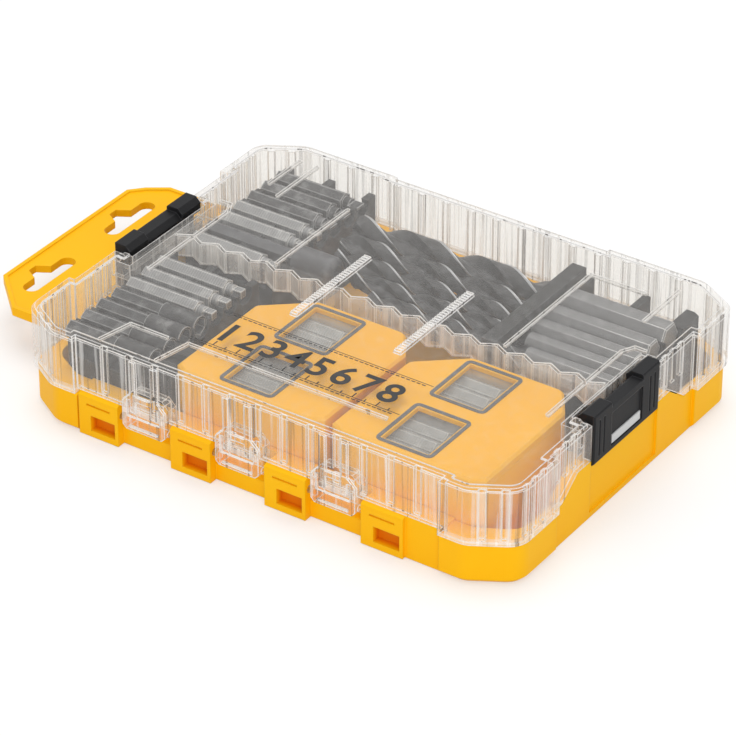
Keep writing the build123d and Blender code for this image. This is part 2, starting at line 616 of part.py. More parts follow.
# ---- latches ----
def latch_head(reach, top, y0, y1):
    """A length of the latch round its pivot, with how far it reaches inward and up."""
    inner, low = PIVOT_X - reach, PIVOT_HEIGHT - reach
    outer = LATCH_OUTER - LATCH_SHELL / 2
    outline = [(inner, low + ARM_BEVEL), (inner + ARM_BEVEL, low), (outer, low), (outer, top),
               (inner + ARM_BEVEL, top), (inner, top - ARM_BEVEL)]
    return along_y(outline, y0, y1)


def make_latch():
    """The right latch: a shell with two arms, a stub at each end and a hook along its foot."""
    half = LATCH_WIDTH / 2
    latch = block(LATCH_INNER, LATCH_OUTER, -half, half, LATCH_BOTTOM, LATCH_TOP)
    latch = chamfer(latch.faces().sort_by(Axis.X)[-1].edges(), 0.6)
    middle = LATCH_TOP - MIDDLE_DROP
    latch -= block(LATCH_INNER - 1, LATCH_OUTER + 1, -ARM_INNER, ARM_INNER, middle, LATCH_TOP + 1)
    latch += latch_head(ARM_REACH, LATCH_TOP, -half, -ARM_INNER)
    latch += latch_head(ARM_REACH, LATCH_TOP, ARM_INNER, half)
    latch += latch_head(MIDDLE_REACH, middle, -ARM_INNER, ARM_INNER)
    hook = LATCH_SEAT + CATCH_NOSE + SWING_GAP / 2
    ends = half - LATCH_SHELL
    latch -= block(LATCH_INNER - 1, LATCH_OUTER - LATCH_SHELL, -ends, ends,
                   CATCH_HEIGHT - CATCH_NOSE - 1.2, PIVOT_HEIGHT - ARM_REACH - 3)
    latch -= block(LATCH_INNER - 1, hook, -ends, ends, LATCH_BOTTOM - 1, CATCH_HEIGHT)
    stub = half + LATCH_STUB_GRIP
    latch += rod_y(LATCH_STUB_RADIUS, PIVOT_X, -stub, stub, PIVOT_HEIGHT)
    for y in (-18.5, -15.5, 15.5, 18.5):
        latch -= block(LATCH_OUTER - 0.5, LATCH_OUTER + 1, y - 0.5, y + 0.5, LATCH_BOTTOM + 2.5,
                       LATCH_TOP - 3)
    return latch - block(LATCH_OUTER - LATCH_PANEL, LATCH_OUTER + 1, -ARM_INNER, ARM_INNER,
                         LATCH_BOTTOM + 2.2, LATCH_TOP - 4.5)


def make_latch_strip():
    """The bare strip that lies in the foot of the latch's panel."""
    face = LATCH_OUTER - LATCH_PANEL
    low = LATCH_BOTTOM + 2.7
    return block(face, face + STRIP_THICKNESS, 1 - ARM_INNER, ARM_INNER - 1, low,
                 low + STRIP_HEIGHT)


# ---- hang tab ----
def hang_hole(y):
    """One hang hole: a long brim with a crown on its outer side."""
    straight = -HALF_LENGTH - TAB_REACH + HANG_EDGE
    middle = straight - HANG_BRIM_WIDTH / 2
    low, high = TAB_TOP - TAB_THICKNESS - 1, TAB_TOP + 1
    brim = Pos(middle, y) * Rot(0, 0, 90) * SlotOverall(HANG_BRIM, HANG_BRIM_WIDTH)
    half = HANG_CROWN / 2
    rim = straight - HANG_BRIM_WIDTH
    outer = rim - HANG_CROWN_HEIGHT
    crown = make_face(Polyline((middle, y - half - 2), (rim, y - half), (outer, y - half + 3),
                               (outer, y + half - 3), (rim, y + half), (middle, y + half + 2),
                               close=True))
    return raised(brim + crown, low, high)


def make_hang_tab():
    outer = -HALF_LENGTH - TAB_REACH
    root = -SIDE_FACE - REST_GAP
    post = -HALF_LENGTH - LID_OVERHANG - REST_GAP
    front, back = STORE_GAP - SIDE_PANEL / 2, SIDE_PANEL / 2 - STORE_GAP
    bottom = TAB_TOP - TAB_THICKNESS
    plan = make_face(Polyline((root, front), (post, front), (post, TAB_FRONT),
                              (outer + 17, TAB_FRONT), (outer, TAB_FRONT + 16),
                              (outer, TAB_BACK - 11), (outer + 5, TAB_BACK - 5.5),
                              (outer + 13, TAB_BACK), (post, TAB_BACK), (post, back),
                              (root, back), close=True))
    tab = raised(plan, bottom, TAB_TOP)
    rim = raised(plan, TAB_TOP - 1, TAB_TOP + TAB_RIM)
    rim -= raised(offset(plan, -TAB_RIM_WIDTH, kind=Kind.INTERSECTION), 0, LID_TOP)
    tab += rim - block(post - TAB_RIM_WIDTH, 0, TAB_FRONT - 1, TAB_BACK + 1, 0, LID_TOP)
    tab += block(root - TAB_LIP_WIDTH - 1, root - 1, front + 2, back - 2, bottom, TAB_TOP + TAB_LIP)
    for side in (-1, 1):
        y = TAB_MIDDLE + side * TAB_TONGUE_SPACING / 2
        tab += block(root - 1, -SIDE_FACE + BASE_WALL - REST_GAP, y - TAB_TONGUE / 2 + REST_GAP,
                     y + TAB_TONGUE / 2 - REST_GAP, bottom + REST_GAP,
                     TAB_TOP - TAB_THICKNESS / 3 - REST_GAP)
        tab -= hang_hole(TAB_MIDDLE + side * HANG_PITCH / 2)
    return tab


# ---- racks ----
def store_plan():
    """The plan that the racks keep within: the cavity's, drawn in."""
    half_x = SIDE_FACE - FINGER_RECESS - BASE_WALL - STORE_GAP
    back = HALF_WIDTH - PANEL_DEPTH - BASE_WALL - STORE_GAP
    front = INNER_FRONT + BASE_WALL + REST_GAP
    return raised(cut_plan(-half_x, half_x, front, back, CAVITY_CUT_X, CAVITY_CUT_Y), 0, LID_TOP)


def make_rack(x0, x1, y0, y1, deck, axis, ribs, rests):
    """A hollow deck; ribs are (x0, x1) pairs, and rests (y, radius) of what lies in them."""
    rack = block(x0, x1, y0, y1, FLOOR_SEAT, deck)
    for a, b in ribs:
        rack += block(a, b, y0, y1, deck - RACK_WALL / 2, axis + RACK_SADDLE)
    rack = rack & store_plan()
    for y, radius in rests:
        rack -= rod_x(radius + REST_GAP, x0 - 1, x1 + 1, y, axis)
    return rack - block(x0 + RACK_WALL, x1 - RACK_WALL, y0 + RACK_WALL, y1 - 6 * RACK_WALL,
                        FLOOR_SEAT - 1, deck - RACK_WALL)


def bit_rows(front, back):
    """Y of each bit, from front to back."""
    count = int((back - front - RACK_WALL) / BIT_PITCH)
    first = front + RACK_WALL / 2 + BIT_PITCH / 2
    return [first + i * BIT_PITCH for i in range(count)]


def make_left_rack(y0, y1, rests):
    x0, x1 = -STORE_HALF, LEFT_RACK_END
    middle = (x0 + x1) / 2
    ribs = [(x0, x0 + RACK_RIB), (middle - RACK_RIB / 2, middle + RACK_RIB / 2), (x1 - RACK_RIB, x1)]
    return make_rack(x0, x1, y0, y1, BIT_AXIS - BIT_DECK_DROP, BIT_AXIS, ribs, rests)


def rack_wing():
    """The front rack's wing beside the left cassette, with a round pocket in its top."""
    x0, x1 = LEFT_RACK_END, LEFT_RACK_END + RACK_WING
    y1 = STORE_FRONT + RACK_WING_WIDTH
    wing = block(x0, x1, STORE_FRONT, y1, FLOOR_SEAT, BIT_AXIS + RACK_SADDLE)
    pocket = rod_x(RACK_WING / 3, x0 + RACK_WALL, x1 + 1, (STORE_FRONT + y1) / 2,
                   BIT_AXIS + RACK_SADDLE)
    return wing - pocket


def make_right_rack():
    x0, x1 = RIGHT_RACK_END - RIGHT_RACK_LENGTH, RIGHT_RACK_END
    middle = (x0 + x1 + RACK_END_BAR) / 2
    ribs = [(x0, x0 + RACK_END_BAR), (middle - RACK_RIB / 2, middle + RACK_RIB / 2),
            (x1 - 2 * RACK_RIB, x1)]
    rests = [(y, diameter / 2) for diameter, _, y in drill_rows()]
    rack = make_rack(x0, x1, BACK_RACK_FRONT, STORE_BACK, DRILL_AXIS - DRILL_DECK_DROP,
                     DRILL_AXIS, ribs, rests)
    return rack + drill_keeper(x0, rests)


def drill_keeper(x0, rests):
    """The right rack's left end, raised over the drills, which are pushed through it."""
    x1, back = x0 + RACK_END_BAR, STORE_BACK - KEEPER_INSET
    keeper = block(x0, x1, BACK_RACK_FRONT, back, DRILL_AXIS, ROOF - RIB_DEPTH - SWING_GAP)
    for y, radius in rests:
        keeper -= rod_x(radius + REST_GAP, x0 - 1, x1 + 1, y, DRILL_AXIS)
    return keeper


# ---- drills and bits ----
def drill_rows():
    """(diameter, length, y) of each twist drill, from the smallest in front to the back."""
    rows = []
    edge = BACK_RACK_FRONT
    for diameter, shortening in zip(DRILL_DIAMETERS, DRILL_SHORTENING):
        rows.append((diameter, DRILL_ROOM - shortening, edge + DRILL_GAP + diameter / 2))
        edge += DRILL_GAP + diameter
    return rows


def make_drill(diameter, length, y):
    """A straight-shank twist drill along X with its point to the left, as its outer shape."""
    r = diameter / 2
    tip = DRILL_END - length
    point = r / math.tan(math.radians(DRILL_POINT_ANGLE / 2))
    shank = DRILL_END - length * DRILL_SHANK_SHARE
    outline = [(tip, 0), (tip + point, r), (shank, r), (shank, r * 0.97), (DRILL_END - r / 8, r * 0.97),
               (DRILL_END, r * 0.85), (DRILL_END, 0)]
    face = make_face(Polyline(*[(x, 0, z) for x, z in outline], close=True))
    return Pos(0, y, DRILL_AXIS) * revolve(face, axis=Axis.X)


def driver_bit(y, wide, high):
    """A hex driver bit along X whose tip is wide by high."""
    x0 = -STORE_HALF + BIT_INSET
    x1 = x0 + BIT_LENGTH
    bit = hex_x(BIT_ACROSS_FLATS, x0, x1 - BIT_TIP, y, BIT_AXIS)
    bit += rod_x(BIT_ACROSS_FLATS * 0.36, x1 - BIT_TIP - 0.5, x1 - BIT_TIP + 3, y, BIT_AXIS)
    return bit + block(x1 - BIT_TIP + 2.5, x1, y - wide / 2, y + wide / 2, BIT_AXIS - high / 2,
                       BIT_AXIS + high / 2)


def nut_driver(y):
    x0 = -STORE_HALF + BIT_INSET
    x1 = x0 + BIT_LENGTH
    driver = hex_x(BIT_ACROSS_FLATS, x0, x1 - NUT_DRIVER_HEAD + 1, y, BIT_AXIS)
    driver += rod_x(NUT_DRIVER_RADIUS, x1 - NUT_DRIVER_HEAD, x1, y, BIT_AXIS)
    return driver - hex_x(BIT_ACROSS_FLATS - 0.4, x1 - 6, x1 + 1, y, BIT_AXIS)


def make_bit_holder(y):
    """A holder with a hex shank in the back left rack and its sleeve past the rack's end."""
    x0 = -STORE_HALF + BIT_INSET
    neck = LEFT_RACK_END + DRILL_END_GAP
    sleeve = rod_x(HOLDER_RADIUS, neck, neck + HOLDER_LENGTH, y, BIT_AXIS)
    sleeve = fillet(sleeve.faces().sort_by(Axis.X)[-1].edges(), HOLDER_RADIUS / 2)
    holder = hex_x(BIT_ACROSS_FLATS, x0, neck + 1, y, BIT_AXIS) + sleeve
    return holder - hex_x(BIT_ACROSS_FLATS, neck + 3, neck + HOLDER_LENGTH + 1, y, BIT_AXIS)


# ---- cassettes ----
def cassette_plan(x0, inset):
    """The cassette's plan, its corners cut and the back ones rounded, drawn in by an inset."""
    x1, back = x0 + CASSETTE_LENGTH, CASSETTE_BACK
    left_x, left_y = CASSETTE_LEFT_CUT
    right_x, right_y = CASSETTE_RIGHT_CUT
    front_x, front_y = CASSETTE_FRONT_CUT
    front = STORE_FRONT
    face = make_face(Polyline((x0 + front_x, front), (x1 - front_x, front), (x1, front + front_y),
                              (x1, back - right_y), (x1 - right_x, back), (x0 + left_x, back),
                              (x0, back - left_y), (x0, front + front_y), close=True))
    rear = face.vertices().filter_by(lambda corner: corner.Y > front + 2 * front_y)
    face = fillet(rear, CASSETTE_ROUND)
    return offset(face, -inset, kind=Kind.INTERSECTION) if inset else face


def windows(x0):
    """(x0, x1, y0, y1) of the cassette's front and back windows."""
    left = x0 + WINDOW_X - WINDOW_LENGTH / 2
    front, back = STORE_FRONT + WINDOW_MARGIN, CASSETTE_BACK - WINDOW_MARGIN
    return [(left, left + WINDOW_LENGTH, front, front + WINDOW_WIDTH),
            (left, left + WINDOW_LENGTH, back - WINDOW_WIDTH, back)]


def make_cassette_tray(x0):
    tray = raised(cassette_plan(x0, 0), FLOOR_SEAT, CASSETTE_SPLIT)
    tray -= raised(cassette_plan(x0, CASSETTE_WALL), FLOOR_SEAT + CASSETTE_WALL,
                   CASSETTE_SPLIT + 1)
    middle = (STORE_FRONT + CASSETTE_BACK) / 2
    return tray - block(x0 - 1, x0 + CASSETTE_WALL / 2, middle - 7, middle + 7,
                        CASSETTE_SPLIT - 6, CASSETTE_SPLIT + 1)


def make_cassette_cover(x0):
    cover = raised(cassette_plan(x0, 0), CASSETTE_SPLIT, CASSETTE_TOP)
    cover = chamfer(cover.faces().sort_by(Axis.Z)[-1].edges(), 1.0)
    under = CASSETTE_TOP - CASSETTE_WALL
    cover -= raised(cassette_plan(x0, CASSETTE_WALL), CASSETTE_SPLIT - 1, under)
    lip = raised(cassette_plan(x0, CASSETTE_WALL + REST_GAP), CASSETTE_SPLIT - 1.5, under + 0.1)
    lip -= raised(cassette_plan(x0, 2 * CASSETTE_WALL), CASSETTE_SPLIT - 2, CASSETTE_TOP)
    cover += lip
    for a, b, c, d in windows(x0):
        cover -= block(a, b, c, d, CASSETTE_SPLIT - 3, CASSETTE_TOP + 1)
    return cover


def make_panes(x0):
    """Clear panes under the cover's two windows."""
    under = CASSETTE_TOP - CASSETTE_WALL
    return Compound([block(a - PANE_LAP, b + PANE_LAP, c - PANE_LAP, d + PANE_LAP, under - PANE,
                           under) for a, b, c, d in windows(x0)])


def insert_bit_places(x0):
    """(left end, y) of each short bit, one row under each window."""
    places = []
    for a, b, c, d in windows(x0):
        count = int((d - c) / INSERT_BIT_PITCH)
        for i in range(count):
            y = (c + d) / 2 + (i - (count - 1) / 2) * INSERT_BIT_PITCH
            places.append(((a + b) / 2 - INSERT_BIT_LENGTH / 2, y))
    return places


def make_insert(x0):
    """The holder inside a cassette, with a groove under each bit."""
    low = FLOOR_SEAT + CASSETTE_WALL
    outer = cassette_plan(x0, 2 * CASSETTE_WALL + REST_GAP)
    inner = cassette_plan(x0, 3 * CASSETTE_WALL)
    holder = raised(outer, low, INSERT_DECK + INSERT_SEAT)
    holder -= raised(inner, low - 1, INSERT_DECK - RACK_WALL)
    for x, y in insert_bit_places(x0):
        half = BIT_ACROSS_FLATS / 2 + REST_GAP
        holder -= block(x - REST_GAP, x + INSERT_BIT_LENGTH + REST_GAP, y - half, y + half,
                        INSERT_DECK, INSERT_DECK + 2 * INSERT_SEAT)
    return holder


def make_insert_bits(x0):
    bits = []
    for x, y in insert_bit_places(x0):
        axis = INSERT_DECK + HEX_RADIUS + REST_GAP
        bit = hex_x(BIT_ACROSS_FLATS, x, x + INSERT_BIT_LENGTH - BIT_TIP, y, axis)
        bits.append(bit + rod_x(2.2, x + INSERT_BIT_LENGTH - BIT_TIP - 0.5, x + INSERT_BIT_LENGTH,
                                y, axis))
    return Compound(bits)


def save(node, shape):
    export_step(shape, f"parts/{node}.step")


def save_case():
    save("base", make_base())
    save("lid", make_lid())
    latch, strip = make_latch(), make_latch_strip()
    save("latch_right", latch)
    save("latch_right_strip", strip)
    save("latch_left", mirrored(latch))
    save("latch_left_strip", mirrored(strip))
    save("hang_tab", make_hang_tab())


def save_racks():
    back_rows = bit_rows(BACK_RACK_FRONT, STORE_BACK)
    front_rows = bit_rows(STORE_FRONT, FRONT_RACK_BACK)
    nut_rows, square_rows = front_rows[:4], front_rows[4:]
    save("rack_back_left", make_left_rack(BACK_RACK_FRONT, STORE_BACK,
                                          [(y, HEX_RADIUS) for y in back_rows]))
    rests = [(y, NUT_DRIVER_RADIUS) for y in nut_rows] + [(y, HEX_RADIUS) for y in square_rows]
    save("rack_front_left", make_left_rack(STORE_FRONT, FRONT_RACK_BACK, rests) + rack_wing())
    save("rack_right", make_right_rack())
    for diameter, length, y in drill_rows():
        save(f"twist_drill_{diameter:02.0f}mm", make_drill(diameter, length, y))
    save("bit_holder", make_bit_holder(back_rows[1]))
    phillips = back_rows[:1] + back_rows[2:4]
    save("phillips_bits", Compound([driver_bit(y, 2.6, 2.6) for y in phillips]))
    save("slotted_bits", Compound([driver_bit(y, 5.0, 1.0) for y in back_rows[4:]]))
    save("square_bits", Compound([driver_bit(y, 3.0, 3.0) for y in square_rows]))
    save("nut_drivers", Compound([nut_driver(y) for y in nut_rows]))


def save_cassettes():
    for i, side in enumerate(("left", "right")):
        x0 = CASSETTE_START + i * (CASSETTE_LENGTH + CASSETTE_SPACING)
        save(f"cassette_{side}_tray", make_cassette_tray(x0))
        save(f"cassette_{side}_cover", make_cassette_cover(x0))
        save(f"cassette_{side}_panes", make_panes(x0))
        save(f"cassette_{side}_insert", make_insert(x0))
        save(f"cassette_{side}_bits", make_insert_bits(x0))


os.makedirs("parts", exist_ok=True)
save_case()
save_racks()
save_cassettes()
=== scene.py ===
import math

import bmesh
import bpy
from mathutils import Matrix, Vector


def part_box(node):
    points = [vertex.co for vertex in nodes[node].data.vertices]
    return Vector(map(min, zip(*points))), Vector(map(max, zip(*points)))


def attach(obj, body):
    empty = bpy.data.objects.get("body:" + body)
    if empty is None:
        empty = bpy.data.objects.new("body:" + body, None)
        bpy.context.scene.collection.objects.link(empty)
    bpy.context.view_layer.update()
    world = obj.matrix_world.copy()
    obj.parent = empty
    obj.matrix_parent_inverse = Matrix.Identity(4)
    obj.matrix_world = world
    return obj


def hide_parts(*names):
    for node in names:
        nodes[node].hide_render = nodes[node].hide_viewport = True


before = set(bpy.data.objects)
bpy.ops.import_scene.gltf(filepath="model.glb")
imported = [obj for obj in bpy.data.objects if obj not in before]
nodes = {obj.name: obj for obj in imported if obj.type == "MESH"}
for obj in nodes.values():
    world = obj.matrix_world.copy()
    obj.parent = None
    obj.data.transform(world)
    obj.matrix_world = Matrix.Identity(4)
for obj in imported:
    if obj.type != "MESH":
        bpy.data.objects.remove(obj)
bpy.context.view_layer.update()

# ---- camera ----
# A long lens stands to the front right of the case and looks down on it, as the
# photographer's does. Turn and rise are in degrees, the rest in metres.
view_turn, view_rise = math.radians(34.27), math.radians(32.87)
view_distance, view_aside, view_lift = 1.46627, 0.00465, -0.01087
sensor_width, lens_length = 36.0, 195.65

away = Vector(
    (
        math.sin(view_turn) * math.cos(view_rise),
        -math.cos(view_turn) * math.cos(view_rise),
        math.sin(view_rise),
    )
)
right = Vector((math.cos(view_turn), math.sin(view_turn), 0))
upward = away.cross(right)
camera = bpy.data.objects.new("camera", bpy.data.cameras.new("camera"))
camera.data.sensor_width = sensor_width
camera.data.lens = lens_length
camera.location = away * view_distance - right * view_aside - upward * view_lift
camera.rotation_euler = (math.pi / 2 - view_rise, 0, view_turn)
bpy.context.collection.objects.link(camera)
bpy.context.scene.camera = camera
bpy.context.scene.view_settings.view_transform = "Standard"


# ---- table top and light ----
# The case lies on a plain white sheet under two large soft lamps. The sheet shows as
# white to the camera and in the clear plastic, and still takes the case's shadow.
class Wire:
    """One socket of a finish's nodes. Sums on it add Math nodes."""

    def __init__(self, tree, socket=None):
        self.tree = tree
        self.socket = socket

    def add(self, kind, settings=None, values=None, out=0):
        """A new node: its settings come first, then the values or wires of its sockets."""
        node = self.tree.nodes.new("ShaderNode" + kind)
        for name, value in (settings or {}).items():
            if name == "stops":
                for stop, (place, shade) in zip(node.color_ramp.elements, value):
                    stop.position, stop.color = place, shade
            else:
                setattr(node, name, value)
        for name, value in (values or {}).items():
            if isinstance(value, Wire):
                self.tree.links.new(value.socket, node.inputs[name])
            else:
                node.inputs[name].default_value = value
        return Wire(self.tree, node.outputs[out] if node.outputs else None)

    def work(self, operation, *terms):
        return self.add("Math", {"operation": operation}, dict(enumerate(terms)))

    def __add__(self, other):
        return self.work("ADD", self, other)

    def __sub__(self, other):
        return self.work("SUBTRACT", self, other)

    def __rsub__(self, other):
        return self.work("SUBTRACT", other, self)

    def __mul__(self, other):
        return self.work("MULTIPLY", self, other)

    __radd__ = __add__
    __rmul__ = __mul__

    def between(self, low, high):
        """0 at low, 1 at high and smooth from one to the other."""
        values = {"Value": self, "From Min": low, "From Max": high}
        return self.add("MapRange", {"interpolation_type": "SMOOTHSTEP"}, values)

    def colours(self, under, over):
        """The colour under where this wire is 0, and over where it is 1."""
        mix = {0: self, 6: under, 7: over}
        return self.add("Mix", {"data_type": "RGBA"}, mix, out=2)


def new_finish(name):
    """An empty material and the wire that its nodes start from."""
    finish = bpy.data.materials.new(name)
    finish.use_nodes = True
    finish.node_tree.nodes.clear()
    return finish, Wire(finish.node_tree)


def open_sight(start):
    """1 for a ray from the camera, or one that gloss or clear plastic sends on, else 0."""
    seen = start.add("LightPath", out="Is Camera Ray")
    mirrored = start.add("LightPath", out="Is Glossy Ray")
    through = start.add("LightPath", out="Is Transmission Ray")
    return start.work("MAXIMUM", seen, start.work("MAXIMUM", mirrored, through))


sheet_half = 3.0
sheet_drop = 0.0002
sheet_white = (0.78, 0.78, 0.78, 1)
sheet_seen = (0.55, 0.55, 0.55, 1)
sheet_glow, sheet_matt = 0.42, 0.9
sheet, start = new_finish("table_sheet")
seen = open_sight(start)
plain = start.add("BsdfPrincipled", values={"Base Color": sheet_white, "Roughness": sheet_matt})
glowing = start.add(
    "BsdfPrincipled",
    values={
        "Base Color": sheet_seen,
        "Roughness": sheet_matt,
        "Emission Color": (1, 1, 1, 1),
        "Emission Strength": sheet_glow,
    },
)
shown = start.add("MixShader", values={0: seen, 1: plain, 2: glowing})
start.add("OutputMaterial", values={"Surface": shown})

corners = [(-1, -1), (1, -1), (1, 1), (-1, 1)]
sheet_mesh = bpy.data.meshes.new("table_sheet")
sheet_mesh.from_pydata(
    [(x * sheet_half, y * sheet_half, -sheet_drop) for x, y in corners], [], [(0, 1, 2, 3)]
)
sheet_mesh.materials.append(sheet)
table = bpy.data.objects.new("table_sheet", sheet_mesh)
bpy.context.collection.objects.link(table)

world = bpy.data.worlds.new("studio")
world.use_nodes = True
world.node_tree.nodes.clear()
start = Wire(world.node_tree)
seen = open_sight(start)
room_light, backdrop_light = 0.68, 1.0
strength = seen * (backdrop_light - room_light) + room_light
room = start.add("Background", values={"Color": (1, 1, 1, 1), "Strength": strength})
start.add("OutputWorld", values={"Surface": room})
bpy.context.scene.world = world

lamps = {
    "lamp_above": ((-0.25, 0.35, 1.5), 1.3, 9.5),
    "lamp_front": ((0.9, -1.3, 0.9), 1.1, 9.0),
}
for name, (place, size, power) in lamps.items():
    lamp = bpy.data.lights.new(name, "AREA")
    lamp.size = size
    lamp.energy = power
    holder = bpy.data.objects.new(name, lamp)
    holder.location = place
    holder.rotation_euler = (-Vector(place)).to_track_quat("-Z", "Y").to_euler()
    bpy.context.collection.objects.link(holder)


# ---- base and hang tab ----
# The base and the tab snapped into its left wall are injection-moulded in yellow
# polypropylene, with a fine spark-eroded grain. Their edges are painted a little paler as a
# highlight, and the recesses in the hinge knuckles are painted a deeper orange as shade.
def rounded_edges(start, reach):
    """The surface's normal with its edges rounded, and how near an edge is, 0 to 1."""
    soft = start.add("Bevel", {"samples": 6}, {"Radius": reach})
    flat = start.add("NewGeometry", out="Normal")
    facing = start.add("VectorMath", {"operation": "DOT_PRODUCT"}, {0: soft, 1: flat}, out=1)
    return soft, (1 - facing).between(0.002, 0.10)


def moulded(
    name,
    shade,
    shade_drift,
    edge_highlight,
    roughness,
    grain_scale,
    grain_depth,
    reach=0.0005,
    gloss=0.3,
    core_shading=None,
):
    """Opaque moulded plastic: a fine grain, a slow drift in shade, a painted highlight on its
    edges, and, when asked, painted shade in the hinge knuckles' recesses.
    """
    finish, start = new_finish(name)
    place = start.add("TexCoord", out="Object")
    drift = start.add("TexNoise", values={"Vector": place, "Scale": 22.0, "Detail": 3.0})
    grain = start.add("TexNoise", values={"Vector": place, "Scale": grain_scale, "Detail": 2.0})
    soft, edge = rounded_edges(start, reach)
    colour = drift.between(0.35, 0.7).colours(shade, shade_drift)
    # Edges are painted paler as a highlight.
    colour = (edge * 0.5).colours(colour, edge_highlight)
    # Painted shade: the recesses in the hinge knuckles are coloured a deeper orange, as the shade
    # inside them.
    if core_shading:
        along = start.add("SeparateXYZ", values={"Vector": place}, out="X") - core_shading["middle"]
        deep = start.add("SeparateXYZ", values={"Vector": place}, out="Y")
        tall = start.add("SeparateXYZ", values={"Vector": place}, out="Z")
        half_pitch, half, blur = core_shading["pitch"] / 2, core_shading["half"], core_shading["blur"]
        mouth, end, top = core_shading["mouth"], core_shading["end"], core_shading["top"]
        offset = along.work("ABSOLUTE", along.work("WRAP", along, half_pitch, -half_pitch))
        core_shade_mask = 1 - offset.between(half, half + blur)
        core_shade_mask = core_shade_mask * deep.between(mouth, end)
        core_shade_mask = core_shade_mask * (1 - deep.between(end + blur, end + 2 * blur))
        core_shade_mask = core_shade_mask * (1 - tall.between(top, top + 1.5 * blur))
        row_end = core_shading["row"] + core_shading["row_spare"]
        row = along.work("ABSOLUTE", along - core_shading["row"])
        core_shade_mask = core_shade_mask * (1 - row.between(row_end, row_end + 0.001))
        colour = (0.9 * core_shade_mask).colours(colour, core_shading["shade"])
    bump = start.add(
        "Bump", values={"Height": grain, "Strength": 0.5, "Distance": grain_depth, "Normal": soft}
    )
    surface = start.add(
        "BsdfPrincipled",
        values={
            "Base Color": colour,
            "Roughness": roughness + 0.10 * drift - 0.08 * edge,
            "IOR": 1.49,
            "Specular IOR Level": gloss,
            "Normal": bump,
        },
    )
    start.add("OutputMaterial", values={"Surface": surface})
    return finish


def dress(finish, *names):
    """Gives CAD nodes a finish."""
    for name in names:
        for slot in nodes[name].material_slots:
            slot.material = finish


case_yellow = moulded(
    "case_yellow",
    shade=(1.0, 0.500, 0.001, 1),
    shade_drift=(1.0, 0.530, 0.002, 1),
    edge_highlight=(1.0, 0.64, 0.02, 1),
    roughness=0.42,
    grain_scale=2400.0,
    grain_depth=0.00006,
    gloss=0.14,
    # The recesses in the hinge knuckles take a painted shade, a deeper orange.
    core_shading={
        "middle": -0.0685,
        "pitch": 0.041,
        "row": 0.0615,
        "row_spare": 0.010,
        "half": 0.0078,
        "blur": 0.0004,
        "mouth": -0.0797,
        "end": -0.0766,
        "top": 0.0088,
        "shade": (0.75, 0.17, 0.002, 1),
    },
)
dress(case_yellow, "base", "hang_tab")


# ---- lid ----
# The lid is one clear moulding with ribs inside its walls and roof. It is polished, a
# little hazy in the ribbed walls, and its thin edges gather the light and show white. Bright
# and dark streaks are painted up its walls, for the light that the ribs bend.
# Size of the painted streaks, and the colour of the dark ones, which are painted shade.
streaks_across, streaks_up = 430.0, 9.0
painted_streak_shade = (0.20, 0.185, 0.175, 1)
lip_low, lip_high, lip_blur = 0.0163, 0.0184, 0.0004
divider_front, divider_back, divider_blur = -0.0022, 0.0056, 0.0006
divider_top, divider_top_blur = 0.0380, 0.0003
rim_height, rim_blur = 0.0400, 0.0002
cover_most = 0.96


